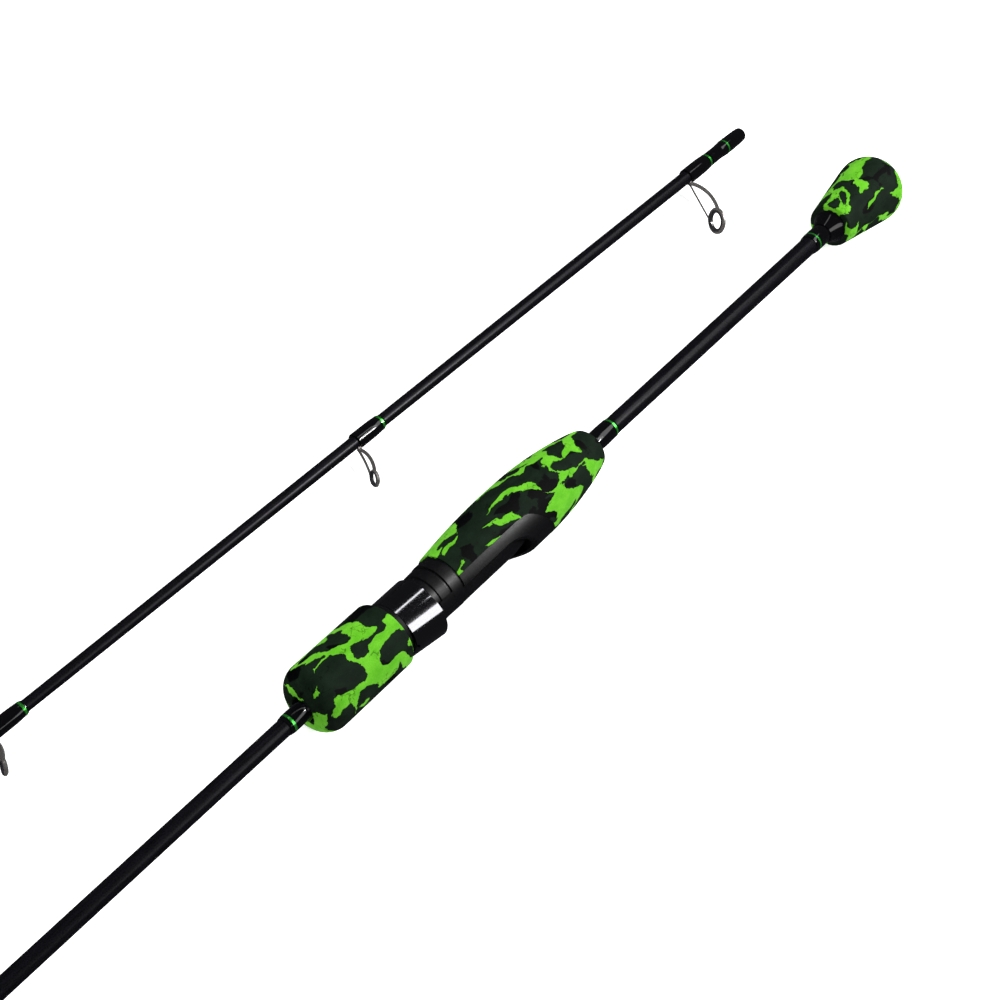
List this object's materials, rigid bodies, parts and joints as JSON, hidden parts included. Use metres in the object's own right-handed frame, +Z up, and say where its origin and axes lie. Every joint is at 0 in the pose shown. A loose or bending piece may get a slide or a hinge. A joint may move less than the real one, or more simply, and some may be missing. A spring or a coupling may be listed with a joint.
{
  "type": "spinning rod",
  "caption": "Two-piece spinning rod taken apart, camouflage foam grips, reel seat with screw-down hood and ceramic line guides.",
  "frame": {"origin": "on the butt section's axis, under the middle of the reel bed", "axes": "+X from the butt towards the tip along both sections, +Y towards the reel and the guides, +Z up with both sections laid on a table"},
  "size_m": [0.9751, 0.1211, 0.037],
  "materials": {
    "carbon_blank": "satin clear coat over wound graphite and glass",
    "thread_wrap": "black thread under glossy clear varnish",
    "green_trim": "green thread band under varnish",
    "camo_foam": "moulded foam in bright green, dark green and black patches",
    "check_ring": "brushed grey",
    "seat_plastic": "matt black",
    "hood_metal": "polished black chrome",
    "guide_metal": "polished gunmetal",
    "ceramic_ring": "polished dark ceramic",
    "arbor_foam": "light grey rigid foam",
    "spigot_glass": "ground and waxed solid glass rod"
  },
  "bodies": {
    "butt_section": {"butt_blank": "carbon_blank", "ferrule_spigot": "spigot_glass", "butt_knob": "camo_foam", "knob_check": "thread_wrap", "knob_wrap": "thread_wrap", "rear_wrap": "thread_wrap", "rear_check_ring": "check_ring", "rear_grip": "camo_foam", "seat_arbor_rear": "arbor_foam", "seat_arbor_front": "arbor_foam", "reel_seat_body": "seat_plastic", "front_wrap": "thread_wrap", "stripper_frame": "guide_metal", "stripper_ring": "ceramic_ring", "stripper_wrap": "thread_wrap", "butt_end_wrap": "thread_wrap", "butt_trim_bands": "green_trim"},
    "hood": {"moving_hood": "hood_metal", "hood_liner": "seat_plastic"},
    "foregrip_nut": {"lock_nut": "seat_plastic", "foregrip": "camo_foam"},
    "tip_section": {"tip_blank": "carbon_blank", "ferrule_wrap": "thread_wrap", "guide_1_frame": "guide_metal", "guide_1_ring": "ceramic_ring", "guide_1_wrap": "thread_wrap", "guide_2_frame": "guide_metal", "guide_2_ring": "ceramic_ring", "guide_2_wrap": "thread_wrap", "guide_3_frame": "guide_metal", "guide_3_ring": "ceramic_ring", "guide_3_wrap": "thread_wrap", "guide_4_frame": "guide_metal", "guide_4_ring": "ceramic_ring", "guide_4_wrap": "thread_wrap", "guide_5_frame": "guide_metal", "guide_5_ring": "ceramic_ring", "guide_5_wrap": "thread_wrap", "guide_6_frame": "guide_metal", "guide_6_ring": "ceramic_ring", "guide_6_wrap": "thread_wrap", "tip_top_frame": "guide_metal", "tip_top_ring": "ceramic_ring", "tip_trim_bands": "green_trim"}
  },
  "joints": [
    {"name": "hood_slide", "type": "slide", "parent": "butt_section", "child": "hood", "axis": [1, 0, 0], "range_m": [0, 0.012]},
    {"name": "foregrip_turn", "type": "hinge", "parent": "hood", "child": "foregrip_nut", "pos_m": [0.07, 0, 0], "axis": [1, 0, 0], "range_deg": [0, 2160]},
    {"name": "tip_section_slide", "type": "slide", "parent": "butt_section", "child": "tip_section", "axis": [1, 0, 0], "range_m": [0, 0.895]}
  ],
  "couplings": [
    {"joint": "hood_slide", "follows": "foregrip_turn", "m_per_rad": 0.00031831}
  ]
}
